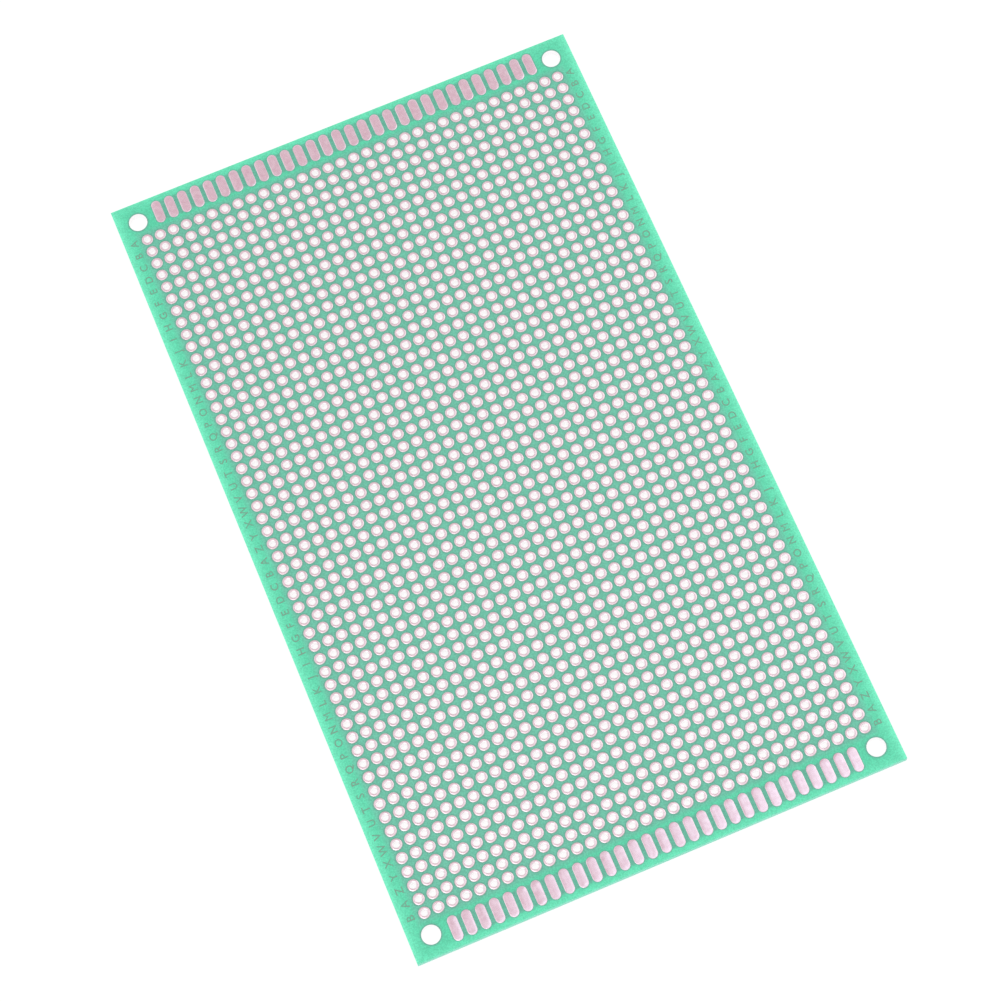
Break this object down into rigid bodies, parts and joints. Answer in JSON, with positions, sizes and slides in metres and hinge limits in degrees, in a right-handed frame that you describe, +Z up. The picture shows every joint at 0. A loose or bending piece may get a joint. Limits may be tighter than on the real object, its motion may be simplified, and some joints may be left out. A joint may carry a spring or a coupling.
{
  "type": "prototype circuit board",
  "caption": "Flat green double-sided prototype circuit board with a tenth-inch grid of plated lead holes, a screw hole in each corner and tinned contact lands along both short ends.",
  "frame": {"origin": "middle of the underside, so the board lies flat on the ground plane", "axes": "+X across the short side, +Y along the long side, +Z up out of the top face"},
  "size_m": [0.09, 0.15, 0.0016],
  "materials": {
    "green_laminate": "glass-epoxy laminate under a glossy green solder mask",
    "tinned_copper": "bright tin-plated copper"
  },
  "bodies": {
    "root": {"board": "green_laminate", "far_lands_top": "tinned_copper", "near_lands_top": "tinned_copper", "far_lands_bottom": "tinned_copper", "near_lands_bottom": "tinned_copper"}
  },
  "joints": []
}
